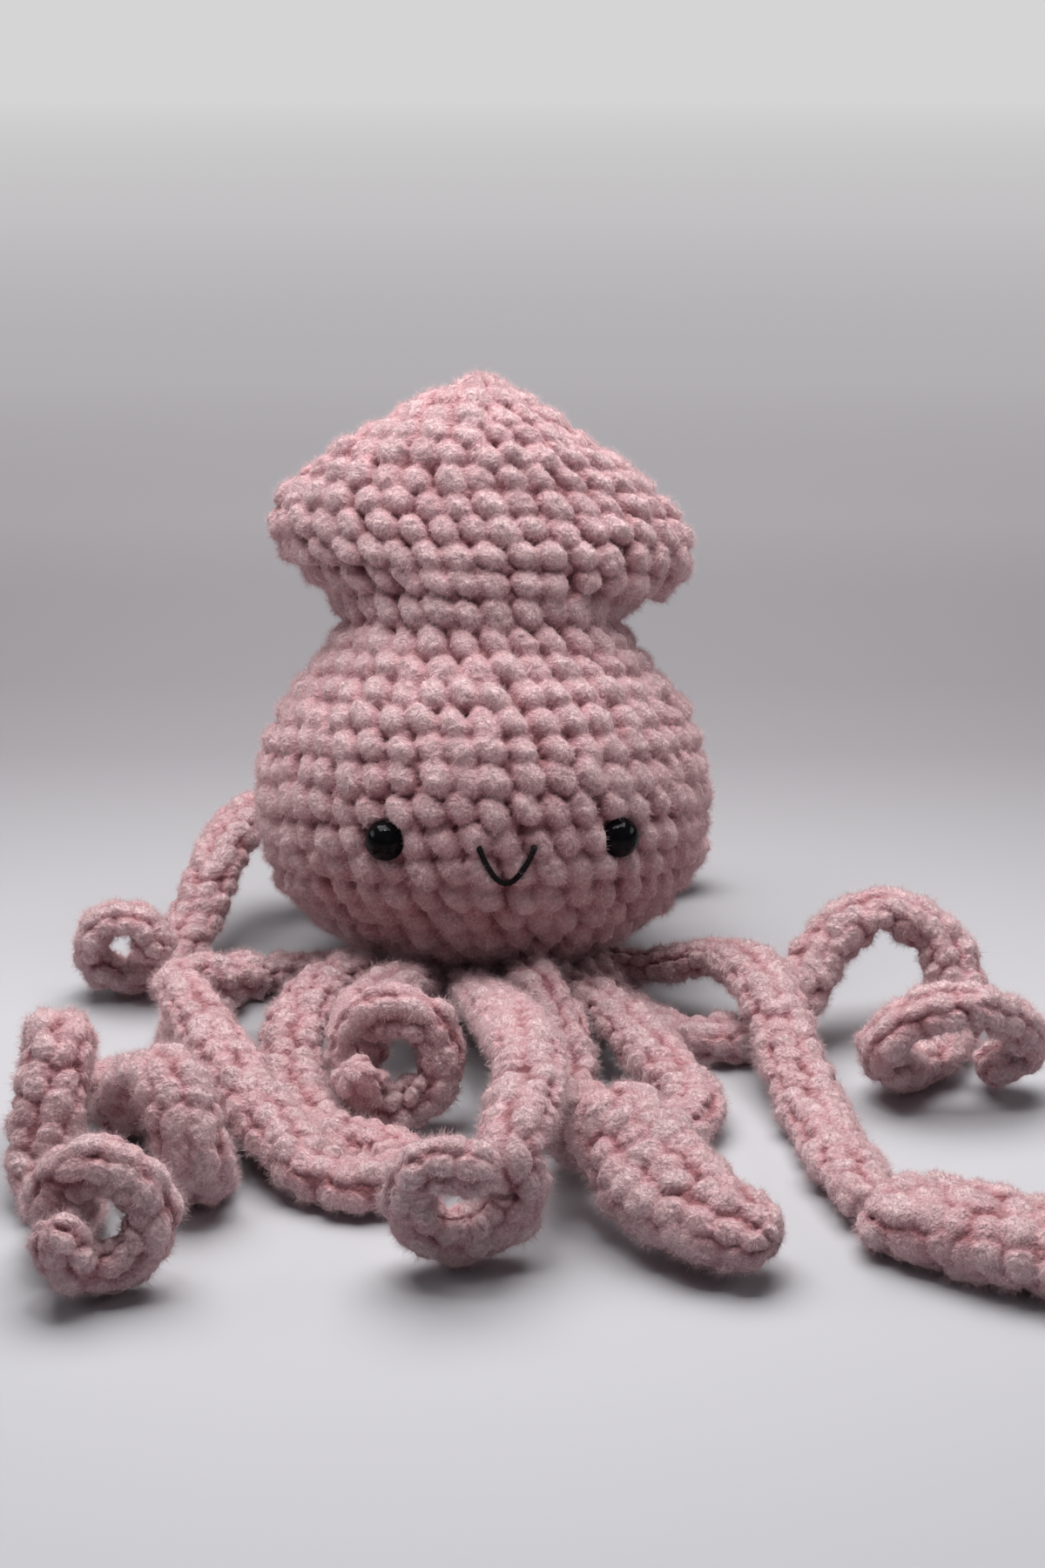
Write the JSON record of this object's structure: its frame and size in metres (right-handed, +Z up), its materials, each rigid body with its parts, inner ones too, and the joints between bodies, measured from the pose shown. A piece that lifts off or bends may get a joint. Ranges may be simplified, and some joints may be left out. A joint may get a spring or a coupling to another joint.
{
  "type": "plush squid",
  "caption": "Crocheted chenille plush squid that sits upright, with a stuffed head and fin, safety eyes, a stitched mouth, curly arms and longer club-ended tentacles.",
  "frame": {"origin": "centre of the flat bottom that the body sits on", "axes": "+Z up, the face looks towards -Y, +X is to the viewer's right"},
  "size_m": [0.3422, 0.3553, 0.2207],
  "materials": {
    "chenille": "dusty rose chenille yarn, soft short pile",
    "fibrefill": "loose white polyester fibrefill",
    "black_plastic": "polished black",
    "white_plastic": "milky moulded",
    "black_thread": "twisted embroidery thread"
  },
  "bodies": {
    "body": {"body_skin": "chenille", "head_filling": "fibrefill", "mantle_filling": "fibrefill", "eye_left": "black_plastic", "eye_right": "black_plastic", "eye_washer_left": "white_plastic", "eye_washer_right": "white_plastic", "mouth_thread": "black_thread"},
    "arm_front_left": {"arm_front_left": "chenille"},
    "arm_front_middle": {"arm_front_middle": "chenille"},
    "arm_front_right": {"arm_front_right": "chenille"},
    "tentacle_front": {"tentacle_front": "chenille"},
    "arm_right": {"arm_right": "chenille"},
    "tentacle_right": {"tentacle_right": "chenille"},
    "arm_rear_right": {"arm_rear_right": "chenille"},
    "arm_rear_left": {"arm_rear_left": "chenille"},
    "arm_left": {"arm_left": "chenille"},
    "arm_left_fore": {"arm_left_fore": "chenille"},
    "tentacle_front_club": {"tentacle_front_club": "chenille"},
    "tentacle_right_club": {"tentacle_right_club": "chenille"}
  },
  "joints": [
    {"name": "arm_front_left_lift", "type": "hinge", "parent": "body", "child": "arm_front_left", "pos_m": [-0.01963, -0.0413, 0.01682], "axis": [-0.9069, 0.4038, -0.12], "range_deg": [0, 20]},
    {"name": "arm_front_middle_lift", "type": "hinge", "parent": "body", "child": "arm_front_middle", "pos_m": [-0.00421, -0.04518, 0.01775], "axis": [-0.9962, 0.0872, 0], "range_deg": [0, 20]},
    {"name": "arm_front_right_lift", "type": "hinge", "parent": "body", "child": "arm_front_right", "pos_m": [0.01167, -0.04396, 0.01746], "axis": [-0.9593, -0.2392, 0.15], "range_deg": [0, 9]},
    {"name": "tentacle_front_lift", "type": "hinge", "parent": "body", "child": "tentacle_front", "pos_m": [0.02628, -0.03779, 0.01597], "axis": [-0.7856, -0.5102, 0.35], "range_deg": [0, 20]},
    {"name": "arm_right_lift", "type": "hinge", "parent": "body", "child": "arm_right", "pos_m": [0.04434, -0.02041, 0.01386], "axis": [-0.472, -0.8816, 0], "range_deg": [0, 12]},
    {"name": "tentacle_right_lift", "type": "hinge", "parent": "arm_right", "child": "tentacle_right", "pos_m": [0.04434, -0.02041, 0.01386], "axis": [-0.472, -0.8816, 0], "range_deg": [0, 14]},
    {"name": "arm_rear_right_lift", "type": "hinge", "parent": "body", "child": "arm_rear_right", "pos_m": [0.04618, 0.04974, 0.00934], "axis": [0.7071, -0.7071, 0], "range_deg": [0, 15]},
    {"name": "arm_rear_left_lift", "type": "hinge", "parent": "body", "child": "arm_rear_left", "pos_m": [-0.05003, 0.04565, 0.01032], "axis": [0.6428, 0.766, 0], "range_deg": [0, 15]},
    {"name": "arm_left_lift", "type": "hinge", "parent": "body", "child": "arm_left", "pos_m": [-0.04433, -0.01993, 0.01374], "axis": [-0.4428, 0.845, -0.3], "range_deg": [0, 12]},
    {"name": "arm_left_fore_lift", "type": "hinge", "parent": "arm_left", "child": "arm_left_fore", "pos_m": [-0.04433, -0.01993, 0.01374], "axis": [-0.4428, 0.845, -0.3], "range_deg": [0, 14]},
    {"name": "tentacle_front_club_lift", "type": "hinge", "parent": "tentacle_front", "child": "tentacle_front_club", "pos_m": [0.03487, -0.15251, 0.02665], "axis": [-0.2076, -0.9683, -0.139], "range_deg": [0, 30]},
    {"name": "tentacle_right_club_lift", "type": "hinge", "parent": "tentacle_right", "child": "tentacle_right_club", "pos_m": [0.12049, -0.17718, 0.00779], "axis": [-0.922, -0.3871, 0.0008], "range_deg": [0, 30]}
  ]
}
